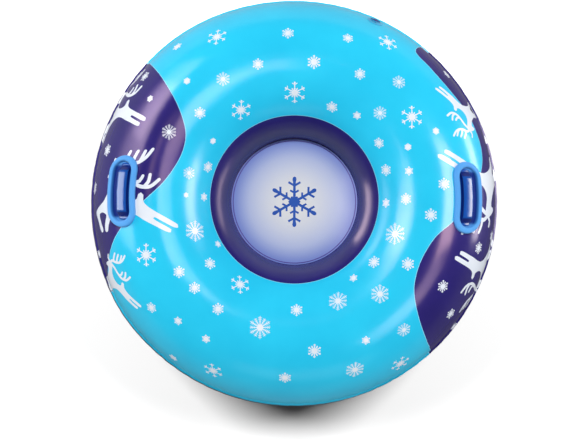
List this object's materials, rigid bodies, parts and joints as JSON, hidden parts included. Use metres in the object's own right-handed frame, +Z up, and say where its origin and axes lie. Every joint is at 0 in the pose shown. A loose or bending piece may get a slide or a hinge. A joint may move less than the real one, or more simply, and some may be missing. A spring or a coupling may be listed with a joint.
{
  "type": "snow tube",
  "caption": "Round inflated PVC snow tube with a closed seat floor, a moulded grab handle each side and a plugged stem valve.",
  "frame": {"origin": "on the ground, under the middle of the seat", "axes": "+Z up out of the seat, +X to the right handle, +Y to the edge nearest the valve"},
  "size_m": [1, 1, 0.3158],
  "materials": {
    "printed_pvc": "glossy printed vinyl sheet",
    "bottom_pvc": "satin heavy vinyl sheet",
    "seat_pvc": "glossy printed vinyl sheet",
    "handle_pvc": "glossy soft moulded vinyl",
    "valve_pvc": "glossy soft moulded vinyl",
    "plug_pvc": "glossy soft moulded vinyl"
  },
  "bodies": {
    "tube": {"top_skin": "printed_pvc", "bottom_skin": "bottom_pvc", "seat_floor": "seat_pvc", "left_handle_base": "handle_pvc", "left_handle_grip": "handle_pvc", "right_handle_base": "handle_pvc", "right_handle_grip": "handle_pvc", "valve_flange": "valve_pvc"},
    "stem": {"valve_stem": "valve_pvc"},
    "strap": {"plug_strap": "plug_pvc"},
    "plug": {"valve_plug": "plug_pvc"},
    "flap": {"valve_flap": "plug_pvc"}
  },
  "joints": [
    {"name": "stem_slide", "type": "slide", "parent": "tube", "child": "stem", "axis": [0.3629, 0.815, 0.4517], "range_m": [0, 0.013]},
    {"name": "strap_fold", "type": "hinge", "parent": "stem", "child": "strap", "pos_m": [0.18415, 0.44236, 0.2168], "axis": [-0.1837, -0.4126, 0.8922], "range_deg": [0, 90]},
    {"name": "plug_fold", "type": "hinge", "parent": "strap", "child": "plug", "pos_m": [0.18725, 0.44098, 0.2168], "axis": [-0.1837, -0.4126, 0.8922], "range_deg": [0, 80]},
    {"name": "flap_swing", "type": "hinge", "parent": "stem", "child": "flap", "pos_m": [0.18439, 0.42644, 0.20949], "axis": [0.1837, 0.4126, -0.8922], "range_deg": [0, 55], "stiffness_Nm_per_rad": 0.0002}
  ]
}
